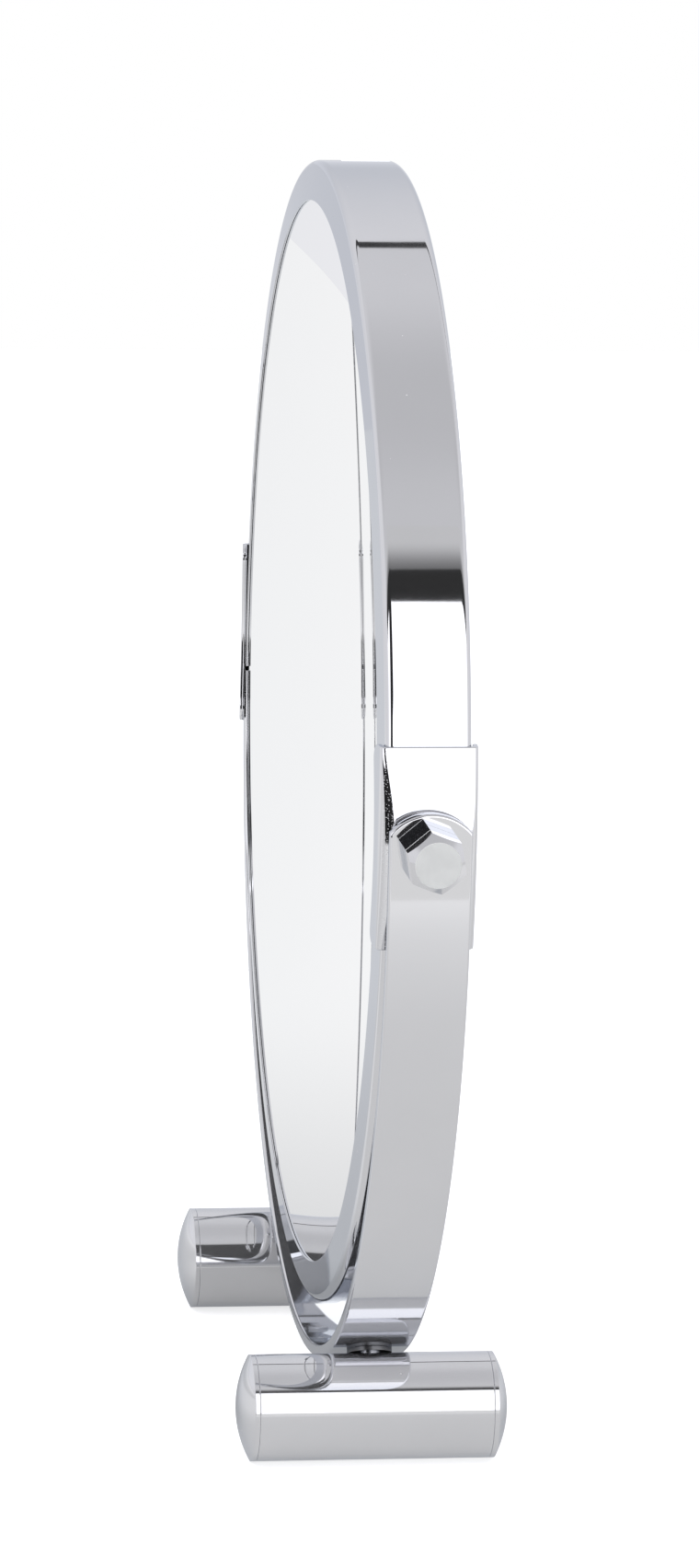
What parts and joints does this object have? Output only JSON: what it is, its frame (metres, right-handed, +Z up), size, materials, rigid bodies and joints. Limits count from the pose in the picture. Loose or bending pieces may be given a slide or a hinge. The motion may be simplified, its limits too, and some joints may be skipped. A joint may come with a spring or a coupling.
{
  "type": "cosmetic mirror",
  "caption": "Two-sided round table mirror in a chromed ring that tilts in a bent strip yoke on two tube feet.",
  "frame": {"origin": "on the table top, midway between the two feet and under the middle of the mirror", "axes": "+Z up; X along the tilt axis, with +X the side of the right-hand pivot; the magnifying glass faces -Y"},
  "size_m": [0.2026, 0.0422, 0.1963],
  "materials": {
    "chrome": "bright chrome plating on formed steel",
    "silvered_glass": "silvered mirror glass",
    "zinc_steel": "dull bright zinc plating",
    "black_plastic": "matt black plastic"
  },
  "bodies": {
    "stand": {"yoke": "chrome", "foot_tube_right": "chrome", "foot_tube_left": "chrome", "foot_core_right": "zinc_steel", "foot_core_left": "zinc_steel", "foot_cap_right_front": "chrome", "foot_cap_right_rear": "chrome", "foot_cap_left_front": "chrome", "foot_cap_left_rear": "chrome", "foot_washer_right": "zinc_steel", "foot_washer_left": "zinc_steel", "foot_screw_right": "zinc_steel", "foot_screw_left": "zinc_steel"},
    "mirror_head": {"ring_frame": "chrome", "front_glass": "silvered_glass", "rear_glass": "silvered_glass", "spacer_ring": "black_plastic", "clip_right": "chrome", "clip_left": "chrome", "anchor_bar_right": "zinc_steel", "anchor_bar_left": "zinc_steel", "pivot_bolt_right": "zinc_steel", "pivot_bolt_left": "zinc_steel", "lock_nut_right": "chrome", "lock_nut_left": "chrome", "friction_washer_right": "black_plastic", "friction_washer_left": "black_plastic"}
  },
  "joints": [
    {"name": "mirror_tilt", "type": "hinge", "parent": "stand", "child": "mirror_head", "pos_m": [0, 0, 0.10633], "axis": [1, 0, 0], "continuous": true}
  ]
}
